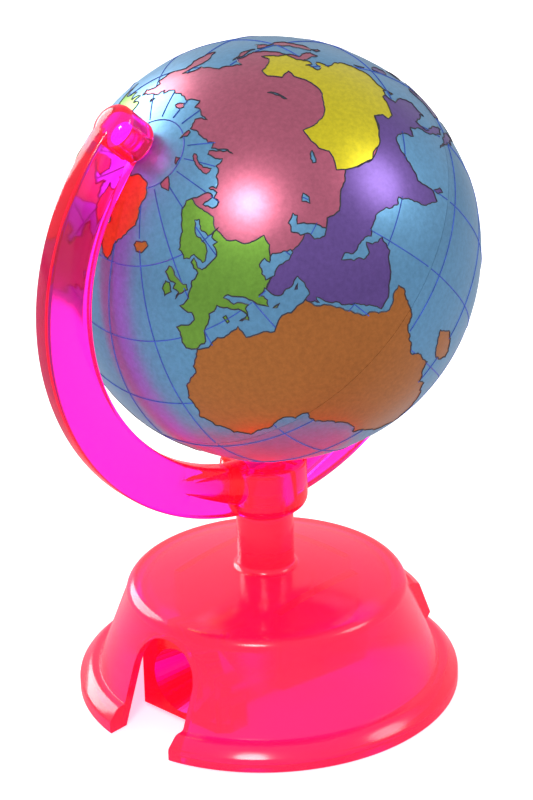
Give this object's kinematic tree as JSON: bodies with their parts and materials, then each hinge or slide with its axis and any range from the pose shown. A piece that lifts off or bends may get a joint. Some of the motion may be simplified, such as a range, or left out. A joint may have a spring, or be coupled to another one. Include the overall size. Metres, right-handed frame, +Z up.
{
  "type": "desktop globe pencil sharpener",
  "caption": "Small desktop globe on a moulded stand: a tilted tin ball spins in a half-round arm above a hollow foot that holds a pencil sharpener.",
  "frame": {"origin": "on the surface the foot stands on, at the middle of the object's length and width", "axes": "+Z up; the globe's north end leans towards -X in the XZ plane; the pencil mouth faces -X, turned 8.5 degrees towards -Y"},
  "size_m": [0.0579, 0.0502, 0.0817],
  "materials": {
    "pink_plastic": "translucent fluorescent pink, gloss",
    "printed_tin": "satin printed tinplate with a world map",
    "steel": "ground steel"
  },
  "bodies": {
    "stand": {"stand_base": "pink_plastic", "meridian_arm": "pink_plastic", "north_axle_pin": "pink_plastic", "south_axle_pin": "pink_plastic", "sharpener_body": "pink_plastic", "sharpener_blade": "steel", "blade_screw": "steel"},
    "globe": {"globe_north_half": "printed_tin", "globe_south_half": "printed_tin"}
  },
  "joints": [
    {"name": "globe_spin", "type": "hinge", "parent": "stand", "child": "globe", "pos_m": [0.00385, 0, 0.05674], "axis": [-0.7242, 0, 0.6896], "continuous": true}
  ]
}
